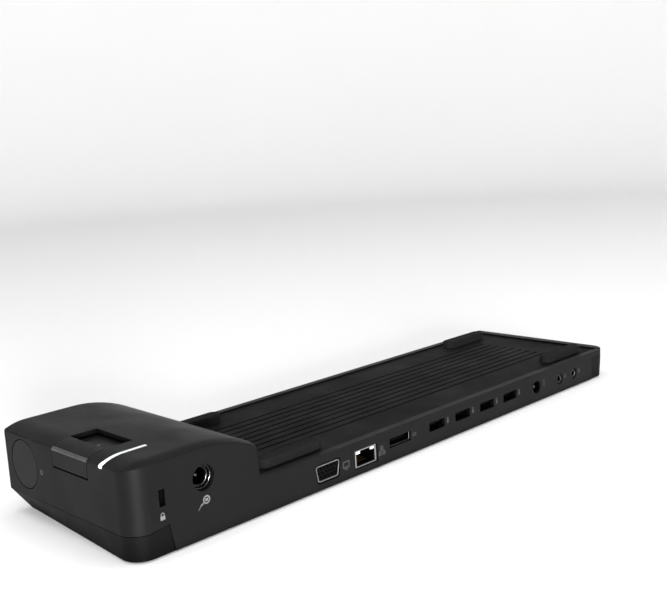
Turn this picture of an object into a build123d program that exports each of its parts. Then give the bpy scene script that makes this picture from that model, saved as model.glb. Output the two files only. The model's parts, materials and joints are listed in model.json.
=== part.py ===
"""Slim docking station for a small notebook, as separate solids in millimetres.

A long low bar carries the notebook, and a tall block at the user's right end holds the docking
mechanism. +X runs along the bar towards the block, +Y to the rear where the sockets are, +Z is up.
The origin is on the table, under the middle of the bounding box.
"""

import os

from build123d import *

os.makedirs("parts", exist_ok=True)

# ------------------------------------------------------------------ driving dimensions
LENGTH = 359.6  # along the bar
DEPTH = 100.0  # front to rear
REAR_R = 9.0  # upright corners at the rear, in plan
FRONT_R = 1.5  # and at the front
WALL = 2.2  # casing walls
FOOT_PROUD = 0.8  # rubber feet stand this far out of the casing
BAR_TOP = 17.7  # rear edge of the low bar above the table
CROWN_FRONT = 42.1  # top of the block at its front edge, above the table
CROWN_REAR = 41.5  # and at its rear edge
BLOCK_LENGTH = 67.8  # block, from its end face to the foot of the step
STEP_LEAN = 1.4  # the step face leans in by this much at its top
SHOULDER_RUN = 11.0  # rounded shoulder between the end face and the top
SHOULDER_DROP = 2.5
FALL_START = 36.0  # the top starts to fall this far from the end face
FALL_DROP = 7.6  # height lost by the top between there and the step
TOP_ROUND = 1.0  # rounding of the block's top edges
SOFT_RUN = 6.0  # the top bends down over this run before its rear edge
SOFT_DROP = 1.3  # and is this much lower there

SEAM_NEAR = 11.9  # height of the casing seam at the block end
SEAM_FAR = 14.2  # and at the far end
SEAM_GAP = 0.25
WRAP_NEAR_TOP = 18.0  # lower casing's wrap on the rear face, from the block end, at its top
WRAP_NEAR_FOOT = 20.2  # and at its foot
WRAP_NEAR_Z = 13.0
WRAP_FAR = 17.3  # wrap at the far end
UNDERCUT_END_REAR = 0.1  # how far the foot of the band lies inside the outline
UNDERCUT_END_FRONT = 7.8
UNDERCUT_REAR = 0.3
UNDERCUT_FRONT = 1.0
FOOT_FRONT_R = 4.0  # front corners of the band at its foot
FLOOR = 1.6  # thickness of the lower casing's floor

LEVER_TRAVEL = 9.0  # docking lever, pulled out of the end face
BUTTON_TRAVEL = 1.0  # power button, pushed in
SLIDE_GAP = 0.3  # clearance round moving pieces

# ------------------------------------------------------------------ places worked out from them
END = LENGTH / 2
REAR = DEPTH / 2
BASE = FOOT_PROUD
FLOOR_TOP = BASE + FLOOR
CURTAIN = REAR - WALL  # inner face of the rear wall
STEP_FOOT = END - BLOCK_LENGTH
STEP_TOP = STEP_FOOT + STEP_LEAN
CROWN_SLOPE = (CROWN_FRONT - CROWN_REAR) / DEPTH

DECK_TOP = BAR_TOP - 0.8
DECK_THICK = 1.5
DECK_UNDER = DECK_TOP - DECK_THICK
RIM = 4.0  # width of the bar's rim round the deck
DECK_FAR = -END + 5.5
DECK_NEAR = STEP_FOOT - 0.2
LIP = 0.2  # raised lip at the far end

BOARD_TOP = 4.2
BOARD_THICK = 1.2
BOARD_SPAN = (-170.0, 107.0)  # main board along the bar
BOARD_FRONT = 8.0
LEAD_SPAN = (104.0, 112.0)  # flat lead that leaves the board for the block
INLET_BOARD_TOP = 19.8
INLET_POST = 13.5  # posts of the inlet's board, either side of the inlet

# sockets on the rear face, placed from the block end, and the height of their centres
USB_X = [END - 189.3 - 21.8 * i for i in range(4)]
USB_SIZE, USB_Z = (12.9, 4.8), 10.4
DISPLAY_X, DISPLAY_SIZE, DISPLAY_Z = END - 159.9, (16.2, 4.9), 10.45
NETWORK_X, NETWORK_SIZE, NETWORK_Z = END - 135.0, (16.2, 9.2), 8.5
VIDEO_X, VIDEO_SIZE, VIDEO_Z = END - 108.6, (17.4, 9.6), 8.8
ROUND_X, ROUND_D, ROUND_Z = END - 281.4, 7.9, 9.4
AUDIO_X, AUDIO_D, AUDIO_Z = [END - 305.9, END - 321.4], 6.4, 8.9
AUDIO_BORE = 3.6
INLET_X, INLET_D, INLET_Z = END - 36.7, 11.4, 27.2
LOCK_X, LOCK_SIZE, LOCK_Z = END - 15.4, (3.0, 7.2), 25.0

BUTTON_Y, BUTTON_Z, BUTTON_D = REAR - 82.7, 26.6, 22.4
LEVER_Y, LEVER_W = REAR - 43.2, 27.6
LEVER_FOOT = 31.3  # lower edge of the lever's tab
LEVER_INNER = 9.4  # the tab's inner edge, from the end face
RECESS_INNER = 23.0  # far wall of the finger recess, from the end face
PLATE_TOP = 39.1  # the lever's slide plate
PLATE_THICK = 1.7
LIGHT_Y, LIGHT_W, LIGHT_LENGTH = REAR - 19.3, 1.5, 22.9
LENS_FOOT = 38.0  # lower end of the light's lens on the end face

DOCK_Z = 27.0  # axis of the docking connector
DOCK_W, DOCK_H = 40.0, 6.0
DOCK_PROUD = 6.0  # it stands out of the step face when docked
PIN_Y, PIN_D, PIN_PROUD = 24.0, 4.0, 9.0
CARRIAGE_X, CARRIAGE_THICK = END - 39.5, 6.0
RAIL_Y, RAIL_Z, RAIL_D = 16.0, 19.5, 4.0

DECK_POSTS = [(x, y) for x in (-140.0, -25.0, 90.0) for y in (-38.0, 2.0)]
BLOCK_POSTS = [(END - 15.0, 39.0), (STEP_FOOT + 8.0, -41.5), (END - 29.0, -41.5)]
POST_SPLIT = 9.0  # lower bosses end and upper posts begin
FEET = [(-160.0, 37.0), (-160.0, -34.0), (35.0, 39.0), (35.0, -38.0), (140.0, 39.0), (140.0, -29.0)]


# ------------------------------------------------------------------ small helpers
def box(x, y, z, mode=Mode.ADD):
    """A box given by its two limits on each axis."""
    centre = tuple((a[0] + a[1]) / 2 for a in (x, y, z))
    with Locations(centre):
        Box(x[1] - x[0], y[1] - y[0], z[1] - z[0], mode=mode)


def rod(axis, centre, diameter, span, mode=Mode.ADD):
    """A cylinder along X, Y or Z: centre is its place on the other two axes, span its two ends."""
    middle = (span[0] + span[1]) / 2
    turn = {"X": (0, 90, 0), "Y": (90, 0, 0), "Z": (0, 0, 0)}[axis]
    place = list(centre)
    place.insert("XYZ".index(axis), middle)
    with Locations(Location(tuple(place), turn)):
        Cylinder(diameter / 2, span[1] - span[0], mode=mode)


def both(centre, half):
    """Limits of a span given by its centre and half its width."""
    return (centre - half, centre + half)


def save(builder, name):
    builder.part.label = name
    export_step(builder.part, f"parts/{name}.step")


# ------------------------------------------------------------------ outer shapes
def corner(radius, inset):
    """Radius of a plan corner moved in by inset, never quite sharp."""
    return max(radius - inset, 0.5)


def outline(z, inset=0.0):
    """Plan of the upper casing at height z, with tighter corners at the front."""
    with BuildSketch(Plane.XY.offset(z)) as plan:
        Rectangle(LENGTH - 2 * inset, DEPTH - 2 * inset)
        fillet(plan.vertices().group_by(Axis.Y)[0], corner(FRONT_R, inset))
        fillet(plan.vertices().group_by(Axis.Y)[-1], corner(REAR_R, inset))
    return plan.sketch


def tray_outline(z, rise, inset=0.0):
    """Plan of the undercut band at height z: rise is 0 at its foot and 1 at full width."""
    under = 1.0 - rise
    rear = REAR - UNDERCUT_REAR * under - inset
    front = -REAR + UNDERCUT_FRONT * under + inset
    end_rear = END - UNDERCUT_END_REAR * under - inset
    end_front = END - UNDERCUT_END_FRONT * under - inset
    with BuildSketch(Plane.XY.offset(z)) as plan:
        corners = [(end_rear, rear), (-end_rear, rear), (-end_front, front), (end_front, front)]
        Polygon(*corners, align=None)
        front_r = FRONT_R + (FOOT_FRONT_R - FRONT_R) * under
        fillet(plan.vertices().group_by(Axis.Y)[0], corner(front_r, inset))
        fillet(plan.vertices().group_by(Axis.Y)[-1], corner(REAR_R, inset))
    return plan.sketch


def block_view(y, inset=0.0, foot=BASE):
    """Side view of the block at depth y, with its walls and top moved in by inset."""
    soft = max(0.0, 1 - (REAR - y) / SOFT_RUN)
    crown = (CROWN_FRONT + CROWN_REAR) / 2 - CROWN_SLOPE * y - SOFT_DROP * soft**2 - inset
    end = END - inset
    step_foot = (STEP_FOOT + inset, foot)
    step_top = (STEP_TOP + inset, crown - FALL_DROP)
    shoulder_start = (END - SHOULDER_RUN, crown)
    shoulder_end = (end, crown - SHOULDER_DROP)
    fall_start = (END - FALL_START, crown)
    with BuildSketch(Plane.XZ.offset(-y)) as view:
        with BuildLine():
            Line(step_foot, (end, foot))
            Line((end, foot), shoulder_end)
            TangentArc(shoulder_start, shoulder_end, tangent=(1, 0))
            Line(shoulder_start, fall_start)
            TangentArc(fall_start, step_top, tangent=(-1, 0))
            Line(step_top, step_foot)
        make_face()
    return view.sketch


def lower_zone(gap=0.0):
    """Space that belongs to the lower casing: all below the seam, but not the rear wall's curtain."""
    far, near = -END - 1, END + 1
    low = BASE - 1
    with BuildPart() as zone:
        with BuildSketch(Plane.XZ.offset(-(CURTAIN - gap))):
            seam = [(near, SEAM_NEAR - gap), (far, SEAM_FAR - gap)]
            Polygon((far, low), (near, low), *seam, align=None)
        extrude(amount=DEPTH)
        with BuildSketch(Plane.XZ.offset(-(REAR + 1))):
            top = (END - WRAP_NEAR_TOP + gap, WRAP_NEAR_Z - gap)
            foot = (END - WRAP_NEAR_FOOT + gap, low)
            knee = (END - REAR_R, SEAM_NEAR - gap)
            Polygon(foot, (near, low), (near, SEAM_NEAR - gap), knee, top, align=None)
            far_edge = -END + WRAP_FAR - gap
            far_top = SEAM_FAR - gap
            Polygon((far, low), (far_edge, low), (far_edge, far_top), (far, far_top), align=None)
        extrude(amount=WALL + 6)
    return zone.part


with BuildPart() as block_outer:
    depths = [-REAR] + [REAR - SOFT_RUN * (1 - i / 4) for i in range(5)]
    loft(sections=[block_view(y) for y in depths], ruled=True)
    extrude(outline(BASE), amount=CROWN_FRONT, mode=Mode.INTERSECT)
    walls = block_outer.faces().filter_by(lambda f: abs(f.normal_at().Z) < 0.1)
    lowest_rim = CROWN_REAR - FALL_DROP - SOFT_DROP - 1
    fillet(walls.edges().filter_by(lambda e: e.center().Z > lowest_rim), TOP_ROUND)

with BuildPart() as block_inner:
    loft(sections=[block_view(y, WALL, BASE - 1) for y in depths], ruled=True)
    extrude(outline(BASE - 1, WALL), amount=CROWN_FRONT, mode=Mode.INTERSECT)

# ------------------------------------------------------------------ upper casing
def d_shape(grow=0.0):
    """D-shaped outline of the video socket on the rear face, wide side up."""
    half_w, half_h, slant = VIDEO_SIZE[0] / 2 + grow, VIDEO_SIZE[1] / 2 + grow, 1.3
    points = [(-half_w, half_h), (half_w, half_h), (half_w - slant, -half_h), (-half_w + slant, -half_h)]
    with BuildSketch(Plane.XZ.offset(-(REAR + 1))) as shape:
        with Locations((VIDEO_X, VIDEO_Z)):
            Polygon(*points, align=None)
        fillet(shape.vertices(), 2.2 + grow)
    return shape.sketch


def rear_window(x, z, size, depth=WALL, mode=Mode.SUBTRACT):
    """A rectangular opening through the rear wall."""
    box(both(x, size[0] / 2), (REAR - depth - 0.5, REAR + 1), both(z, size[1] / 2), mode=mode)


with BuildPart() as upper_casing:
    extrude(outline(BASE), amount=BAR_TOP - BASE)
    add(block_outer.part)
    with BuildSketch(Plane.XY.offset(BAR_TOP)):
        add(outline(BAR_TOP))
        with Locations((END, 0)):
            Rectangle(2 * LENGTH - 2 * 5.5, DEPTH, mode=Mode.SUBTRACT)
    extrude(amount=LIP)
    extrude(outline(BASE - 1, WALL), amount=BAR_TOP - WALL - BASE + 1, mode=Mode.SUBTRACT)
    add(block_inner.part, mode=Mode.SUBTRACT)
    # ledge under the deck
    with BuildSketch(Plane.XY.offset(DECK_UNDER - 1.2)):
        add(outline(DECK_UNDER, WALL))
        deck_middle = ((DECK_FAR + 2 + END) / 2, 0)
        with Locations(deck_middle):
            Rectangle(END - DECK_FAR - 2, DEPTH - 2 * (RIM + 2), mode=Mode.SUBTRACT)
        with Locations(((DECK_NEAR + END) / 2, 0)):
            Rectangle(END - DECK_NEAR, DEPTH, mode=Mode.SUBTRACT)
    extrude(amount=1.2)
    box((DECK_FAR, DECK_NEAR), both(0, REAR - RIM), (DECK_UNDER, BAR_TOP + 0.01), mode=Mode.SUBTRACT)
    add(lower_zone(), mode=Mode.SUBTRACT)
    # posts that take the screws in the block
    for x, y in BLOCK_POSTS:
        rod("Z", (x, y), 6.5, (POST_SPLIT, 30.0))
        rod("Z", (x, y), 3.2, (POST_SPLIT, 24.0), mode=Mode.SUBTRACT)
    # ribs that carry those posts and stiffen the block
    for x, y in BLOCK_POSTS:
        ends = (y + 2.2, REAR - 1) if y > 0 else (-REAR + 1, y - 2.2)
        box(both(x, 2.0), ends, (POST_SPLIT + 5, 17.0))
    # sockets
    for x in USB_X:
        rear_window(x, USB_Z, USB_SIZE)
    rear_window(DISPLAY_X, DISPLAY_Z, DISPLAY_SIZE)
    rear_window(NETWORK_X, NETWORK_Z, NETWORK_SIZE)
    extrude(d_shape(), amount=WALL + 2, mode=Mode.SUBTRACT)
    rod("Y", (ROUND_X, ROUND_Z), ROUND_D, (CURTAIN - 1, REAR + 1), mode=Mode.SUBTRACT)
    for x in AUDIO_X:
        rod("Y", (x, AUDIO_Z), AUDIO_D, (CURTAIN - 1, REAR + 1), mode=Mode.SUBTRACT)
    rod("Y", (INLET_X, INLET_Z), INLET_D, (CURTAIN - 1, REAR + 1), mode=Mode.SUBTRACT)
    rear_window(LOCK_X, LOCK_Z, LOCK_SIZE)
    # power button's hole
    rod("X", (BUTTON_Y, BUTTON_Z), BUTTON_D + 0.7, (END - WALL - 1, END + 1), mode=Mode.SUBTRACT)
    # opening for the lever, through the end face and the top, up to the recess's far wall
    half_open = LEVER_W / 2 + SLIDE_GAP
    box((END - RECESS_INNER, END + 1), both(LEVER_Y, half_open), (LEVER_FOOT - 0.8, 50),
        mode=Mode.SUBTRACT)
    # guide ribs beside the lever's plate, with lips that hold it up
    for side in (-1, 1):
        rib_y = LEVER_Y + side * (LEVER_W / 2 + 3.45)
        lip_y = rib_y - side * 1.6
        box((END - 32, END - 24), both(rib_y, 0.8), (PLATE_TOP - 3.9, PLATE_TOP + 1.0))
        box((END - 32, END - 24), both(lip_y, 0.8), (PLATE_TOP - 3.9, PLATE_TOP - 2.0))
    # groove of the light bar, and the lens's notch in the end face
    groove = (LIGHT_Y - 0.9, LIGHT_Y + 1.5)
    box((END - LIGHT_LENGTH, END - WALL - 0.1), groove, (34, 50), mode=Mode.SUBTRACT)
    box((END - WALL - 0.2, END + 1), groove, (LENS_FOOT - 0.1, 50), mode=Mode.SUBTRACT)
    # shelf that holds the light board
    box((END - 5, END - 1), both(LIGHT_Y, 3.5), (31.0, 32.6))
    # window and pin holes of the docking connector in the step face
    box((STEP_FOOT - 1, STEP_TOP + WALL + 2), both(0, DOCK_W / 2 + 0.4), both(DOCK_Z, DOCK_H / 2 + 0.4),
        mode=Mode.SUBTRACT)
    for y in (-PIN_Y, PIN_Y):
        rod("X", (y, DOCK_Z), PIN_D + 0.8, (STEP_FOOT - 1, STEP_TOP + WALL + 2), mode=Mode.SUBTRACT)
save(upper_casing, "upper_casing")

# ------------------------------------------------------------------ lower casing
with BuildPart() as lower_casing:
    loft(sections=[tray_outline(BASE, 0.0), tray_outline(SEAM_NEAR, 1.0)], ruled=True)
    extrude(tray_outline(SEAM_NEAR, 1.0), amount=4.0)
    inner_foot = tray_outline(FLOOR_TOP, FLOOR / (SEAM_NEAR - BASE), WALL)
    loft(sections=[inner_foot, tray_outline(SEAM_NEAR, 1.0, WALL)], ruled=True, mode=Mode.SUBTRACT)
    extrude(tray_outline(SEAM_NEAR, 1.0, WALL), amount=5.0, mode=Mode.SUBTRACT)
    add(lower_zone(SEAM_GAP), mode=Mode.INTERSECT)
    for x, y in DECK_POSTS + BLOCK_POSTS:
        rod("Z", (x, y), 7.5, (BASE, POST_SPLIT))
        rod("Z", (x, y), 3.4, (BASE - 1, POST_SPLIT + 1), mode=Mode.SUBTRACT)
        rod("Z", (x, y), 6.2, (BASE - 1, BASE + 3.0), mode=Mode.SUBTRACT)
    # posts of the power inlet's board
    for x in both(INLET_X, INLET_POST):
        rod("Z", (x, 36.0), 5.0, (FLOOR_TOP - 0.5, INLET_BOARD_TOP - 1.4))
    # recesses of the rubber feet and the label
    with BuildSketch(Plane.XY.offset(BASE)):
        with Locations(FEET):
            SlotOverall(24.4, 8.4)
    extrude(amount=0.6, mode=Mode.SUBTRACT)
    box((-80, -40), (-32, -12), (BASE - 1, BASE + 0.3), mode=Mode.SUBTRACT)
    # ventilation slots under the main board
    with BuildSketch(Plane.XY.offset(BASE - 1)):
        with Locations((-60, 24)):
            with GridLocations(6.0, 1, 14, 1):
                SlotOverall(18.0, 2.0, rotation=90)
    extrude(amount=FLOOR + 2, mode=Mode.SUBTRACT)
save(lower_casing, "lower_casing")

# ------------------------------------------------------------------ bay deck and its rubber rests
with BuildPart() as bay_deck:
    box((DECK_FAR + 0.2, DECK_NEAR - 0.2), both(0, REAR - RIM - 0.2), (DECK_UNDER, DECK_TOP))
    for x, y in DECK_POSTS:
        rod("Z", (x, y), 6.5, (POST_SPLIT, DECK_UNDER))
        rod("Z", (x, y), 3.2, (POST_SPLIT - 1, DECK_TOP - 0.8), mode=Mode.SUBTRACT)
    # long ribs underneath and shallow grooves on top
    for y in (-28.0, -12.0):
        box((-168, 104), both(y, 0.8), (DECK_UNDER - 3.5, DECK_UNDER))
    for i in range(9):
        box((-150, 88), both(-24 + 6.0 * i, 0.6), (DECK_TOP - 0.4, DECK_TOP + 1), mode=Mode.SUBTRACT)
save(bay_deck, "bay_deck")

DECK_RESTS = [(x, y) for x in (-146.0, 84.0) for y in (-38.0, 37.5)]
REST_HEIGHT = 4.6
with BuildPart() as deck_rests:
    with BuildSketch(Plane.XY.offset(DECK_TOP)):
        with Locations(DECK_RESTS):
            SlotOverall(38.0, 8.0)
    extrude(amount=REST_HEIGHT)
    fillet(deck_rests.faces().group_by(Axis.Z)[-1].edges(), 1.2)
save(deck_rests, "deck_rests")

# ------------------------------------------------------------------ docking lever and its trim
LEVER_SPAN = both(LEVER_Y, LEVER_W / 2)
TRIM_FOOT = 38.3  # lower edge of the trim on the end face
TRIM_DEPTH = 1.1

with BuildPart() as lever_tab:
    add(block_outer.part)
    box((END - LEVER_INNER, END + 1), LEVER_SPAN, (LEVER_FOOT, 50), mode=Mode.INTERSECT)

with BuildPart() as trim_zone:
    box((END - TRIM_DEPTH, END + 1), (LEVER_SPAN[0] - 1, LEVER_SPAN[1] + 1), (TRIM_FOOT, 50))

with BuildPart() as dock_lever:
    add(lever_tab.part)
    add(trim_zone.part, mode=Mode.SUBTRACT)
    # hollow behind the tab's upright part
    box((END - LEVER_INNER - 1, END - 2.6), (LEVER_SPAN[0] - 1, LEVER_SPAN[1] + 1),
        (LEVER_FOOT - 1, PLATE_TOP - PLATE_THICK), mode=Mode.SUBTRACT)
    # slide plate: floor of the finger recess, and wider where it runs under the top wall
    box((CARRIAGE_X, END - 3), LEVER_SPAN, (PLATE_TOP - PLATE_THICK, PLATE_TOP))
    box((CARRIAGE_X, END - RECESS_INNER - 1), both(LEVER_Y, LEVER_W / 2 + 2.35),
        (PLATE_TOP - PLATE_THICK, PLATE_TOP))
    # dust wall that closes the opening when the lever is out, and two gussets
    dust_wall = END - 2.6 - LEVER_TRAVEL
    box((dust_wall - 1.4, dust_wall), LEVER_SPAN, (LEVER_FOOT, PLATE_TOP - PLATE_THICK))
    for y in (LEVER_Y - 8, LEVER_Y + 8):
        box((dust_wall, END - 2.6), both(y, 0.8), (LEVER_FOOT + 3, PLATE_TOP - PLATE_THICK))
save(dock_lever, "dock_lever")

with BuildPart() as lever_trim:
    add(lever_tab.part)
    add(trim_zone.part, mode=Mode.INTERSECT)
save(lever_trim, "lever_trim")

# ------------------------------------------------------------------ connector carriage and its rails
CARRIAGE_SPAN = (CARRIAGE_X, CARRIAGE_X + CARRIAGE_THICK)
PLATE_UNDER = PLATE_TOP - PLATE_THICK
with BuildPart() as connector_carriage:
    box(CARRIAGE_SPAN, (-30, 30), (14.0, 33.0))
    box(CARRIAGE_SPAN, both(LEVER_Y, 12.0), (33.0, PLATE_UNDER))
    fillet(connector_carriage.edges().filter_by(Axis.X).group_by(Axis.Z)[0], 3.0)
    for y in (-RAIL_Y, RAIL_Y):
        rod("X", (y, RAIL_Z), RAIL_D + 0.12, (CARRIAGE_X - 1, CARRIAGE_X + 8), mode=Mode.SUBTRACT)
    for y in (LEVER_Y - 6, LEVER_Y + 6):
        rod("Z", (CARRIAGE_X + 3, y), 2.2, (30.0, PLATE_UNDER + 1), mode=Mode.SUBTRACT)
save(connector_carriage, "connector_carriage")

BRACKET_SPAN = (STEP_FOOT + 4.5, END - 16.5)
RAIL_POST = END - 20.5  # inner face of the bracket's upright at the block end
with BuildPart() as guide_rails:
    for y in (-RAIL_Y, RAIL_Y):
        rod("X", (y, RAIL_Z), RAIL_D, (BRACKET_SPAN[0], BRACKET_SPAN[1]))
save(guide_rails, "guide_rails")

with BuildPart() as rail_bracket:
    box((BRACKET_SPAN[0], BRACKET_SPAN[1]), (-22, 22), (FLOOR_TOP, FLOOR_TOP + 1.6))
    for x in ((BRACKET_SPAN[0], BRACKET_SPAN[0] + 2.0), (RAIL_POST, RAIL_POST + 2.0)):
        box(x, (-22, 22), (FLOOR_TOP, 23.3))
    for y in (-RAIL_Y, RAIL_Y):
        rod("X", (y, RAIL_Z), RAIL_D, (BRACKET_SPAN[0] - 1, END), mode=Mode.SUBTRACT)
save(rail_bracket, "rail_bracket")

with BuildPart() as rail_clips:
    for y in (-RAIL_Y, RAIL_Y):
        rod("X", (y, RAIL_Z), RAIL_D + 3, (RAIL_POST + 2.05, RAIL_POST + 3.05))
        rod("X", (y, RAIL_Z), RAIL_D, (RAIL_POST, END), mode=Mode.SUBTRACT)
save(rail_clips, "rail_clips")

DOCK_FACE = STEP_FOOT - DOCK_PROUD
with BuildPart() as docking_connector:
    box((DOCK_FACE, CARRIAGE_X), both(0, DOCK_W / 2), both(DOCK_Z, DOCK_H / 2))
    fillet(docking_connector.edges().filter_by(Axis.X), 0.8)
    mouth = (DOCK_FACE - 1, DOCK_FACE + 5.0)
    box(mouth, both(0, DOCK_W / 2 - 1.4), both(DOCK_Z, DOCK_H / 2 - 1.0), mode=Mode.SUBTRACT)
    box((DOCK_FACE + 0.8, DOCK_FACE + 6), both(0, DOCK_W / 2 - 3), both(DOCK_Z, 0.8))
save(docking_connector, "docking_connector")

with BuildPart() as docking_contacts:
    for i in range(16):
        for side in (-1, 1):
            y = (i - 7.5) * 2.0
            z = DOCK_Z + side * 0.87
            box((DOCK_FACE + 1.2, DOCK_FACE + 4.9), both(y, 0.45), both(z, 0.07))
save(docking_contacts, "docking_contacts")

with BuildPart() as guide_pins:
    for y in (-PIN_Y, PIN_Y):
        tip = STEP_FOOT - PIN_PROUD
        rod("X", (y, DOCK_Z), PIN_D, (tip, CARRIAGE_X))
        rod("X", (y, DOCK_Z), PIN_D + 2, (CARRIAGE_X - 4, CARRIAGE_X))
    tips = guide_pins.faces().filter_by(Axis.X).group_by(Axis.X)[0]
    chamfer(tips.edges(), 1.4, 0.9)
save(guide_pins, "guide_pins")

with BuildPart() as carriage_screws:
    for y in (LEVER_Y - 6, LEVER_Y + 6):
        rod("Z", (CARRIAGE_X + 3, y), 2.0, (31.0, PLATE_UNDER))
save(carriage_screws, "carriage_screws")

# leaf that clicks under the carriage at the end of its travel
with BuildPart() as detent_spring:
    with BuildSketch(Plane.XZ.offset(-3)):
        with BuildLine():
            leaf = Polyline((157, 4.25), (147, 4.25), (134, 12.4), (130, 12.4), (127, 10.5))
            offset(leaf, 0.2, side=Side.BOTH)
        make_face()
    extrude(amount=6)
save(detent_spring, "detent_spring")

# flat lead from the moving connector to the main board
with BuildPart() as docking_lead:
    with BuildSketch(Plane.XZ.offset(-29.5)):
        with BuildLine():
            run = FilletPolyline((CARRIAGE_X - 0.3, 15.5), (126, 15.5), (117, 4.7), (101, 4.7), radius=3.0)
            offset(run, 0.2, side=Side.BOTH)
        make_face()
    extrude(amount=6.5)
save(docking_lead, "docking_lead")

# ------------------------------------------------------------------ power button and its switch
BUTTON_BACK = END - WALL - 1.5  # back of the cap's retaining flange
STEM_END = END - 9.9 - BUTTON_TRAVEL
NOTCH_R, NOTCH_DEPTH = 20.0, 1.1
with BuildPart() as power_button:
    rod("X", (BUTTON_Y, BUTTON_Z), BUTTON_D, (BUTTON_BACK, END))
    rod("X", (BUTTON_Y, BUTTON_Z), BUTTON_D + 2.5, (BUTTON_BACK, BUTTON_BACK + 1.2))
    flange_flat = BUTTON_Z + BUTTON_D / 2 - 0.7
    box((BUTTON_BACK - 1, BUTTON_BACK + 1.2), both(BUTTON_Y, 20), (flange_flat, 45), mode=Mode.SUBTRACT)
    rod("X", (BUTTON_Y, BUTTON_Z), 5.6, (STEM_END, BUTTON_BACK + 1))
    rims = power_button.faces().filter_by(Axis.X).group_by(Axis.X)[-1]
    fillet(rims.edges(), 0.3)
    # shallow notch along the top of the cap, under a flatter arc
    with BuildSketch(Plane.YZ.offset(END - 1.6)):
        with Locations((BUTTON_Y, BUTTON_Z)):
            Circle(BUTTON_D / 2 + 1)
        with Locations((BUTTON_Y, BUTTON_Z + BUTTON_D / 2 - NOTCH_DEPTH - NOTCH_R)):
            Circle(NOTCH_R, mode=Mode.SUBTRACT)
        with Locations((BUTTON_Y, BUTTON_Z - BUTTON_D)):
            Rectangle(4 * BUTTON_D, 3 * BUTTON_D, mode=Mode.SUBTRACT)
    extrude(amount=3, mode=Mode.SUBTRACT)
save(power_button, "power_button")

with BuildPart() as switch_plunger:
    rod("X", (BUTTON_Y, BUTTON_Z), 3.2, (STEM_END - 2.7, STEM_END))
save(switch_plunger, "switch_plunger")

SWITCH_BACK = END - 16.1
with BuildPart() as button_switch:
    box((SWITCH_BACK, SWITCH_BACK + 3.6), both(BUTTON_Y, 3.1), both(BUTTON_Z, 3.1))
    rod("X", (BUTTON_Y, BUTTON_Z), 3.9, (SWITCH_BACK + 1.0, END), mode=Mode.SUBTRACT)
save(button_switch, "button_switch")

BOARD_POSTS = [(BUTTON_Y + y, BUTTON_Z + z) for y in (-9, 9) for z in (-12, 10)]
with BuildPart() as button_board:
    box((SWITCH_BACK - 1.4, SWITCH_BACK), both(BUTTON_Y, 11.5), (BUTTON_Z - 13.0, BUTTON_Z + 12.4))
    for place in BOARD_POSTS:
        rod("X", place, 1.8, (SWITCH_BACK - 3, SWITCH_BACK + 1), mode=Mode.SUBTRACT)
save(button_board, "button_board")

with BuildPart() as button_bracket:
    box((END - 9.1, END - 7.7), both(BUTTON_Y, 11.0), (BUTTON_Z - 13.4, BUTTON_Z + 12.0))
    rod("X", (BUTTON_Y, BUTTON_Z), 9.0, (END - 9.9, END - 6.5))
    rod("X", (BUTTON_Y, BUTTON_Z), 6.3, (END - 11, END - 5), mode=Mode.SUBTRACT)
    for y, z in BOARD_POSTS:
        rod("X", (y, z), 4.0, (SWITCH_BACK, END - 8.5))
        if z < BUTTON_Z:
            rod("X", (y, z), 4.0, (END - 8.5, END - WALL - 0.4))
save(button_bracket, "button_bracket")

with BuildPart() as button_lead:
    strip_y = (-36.0, -28.0)
    box((SWITCH_BACK - 2.0, SWITCH_BACK - 1.4), strip_y, (FLOOR_TOP + 0.05, 16.0))
    box((LEAD_SPAN[0], SWITCH_BACK - 1.4), strip_y, (FLOOR_TOP + 0.05, FLOOR_TOP + 0.45))
    box(LEAD_SPAN, (strip_y[0], BOARD_FRONT + 4), (FLOOR_TOP + 0.05, FLOOR_TOP + 0.45))
save(button_lead, "button_lead")

# ------------------------------------------------------------------ status light
LIGHT_FOOT = 35.4
with BuildPart() as light_bar:
    add(block_outer.part)
    light_span = (LIGHT_Y - 0.8, LIGHT_Y - 0.8 + LIGHT_W)
    box((END - LIGHT_LENGTH + 0.1, END - WALL - 0.2), light_span, (LIGHT_FOOT, 50), mode=Mode.INTERSECT)
save(light_bar, "light_bar")

with BuildPart() as light_lens:
    add(block_outer.part)
    box((END - WALL, END + 1), (LIGHT_Y - 0.8, LIGHT_Y + 1.3), (LENS_FOOT, 50), mode=Mode.INTERSECT)
save(light_lens, "light_lens")

with BuildPart() as light_board:
    box((END - LIGHT_LENGTH, END - 3.2), both(LIGHT_Y, 3.2), (32.6, 33.8))
save(light_board, "light_board")

with BuildPart() as status_leds:
    for i in range(4):
        box(both(END - 20.0 + 4.4 * i, 1.0), both(LIGHT_Y, 0.8), (33.8, 34.9))
save(status_leds, "status_leds")

# ------------------------------------------------------------------ lock plate and power inlet
with BuildPart() as lock_plate:
    box(both(LOCK_X, 5.6), (CURTAIN - 1.6, CURTAIN - 0.05), both(LOCK_Z, 7.5))
    rear_window(LOCK_X, LOCK_Z, LOCK_SIZE, depth=WALL + 2)
save(lock_plate, "lock_plate")

with BuildPart() as inlet_board:
    box(both(INLET_X, INLET_POST + 4.5), (32.0, 45.5), (INLET_BOARD_TOP - 1.4, INLET_BOARD_TOP))
save(inlet_board, "inlet_board")

with BuildPart() as inlet_body:
    box(both(INLET_X, 7.4), (REAR - 18, CURTAIN - 0.05), (INLET_BOARD_TOP, 35.4))
    rod("Y", (INLET_X, INLET_Z), 11.0, (CURTAIN - 2.4, REAR), mode=Mode.SUBTRACT)
    rod("Y", (INLET_X, INLET_Z), 7.6, (REAR - 15, REAR), mode=Mode.SUBTRACT)
save(inlet_body, "inlet_body")

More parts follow.
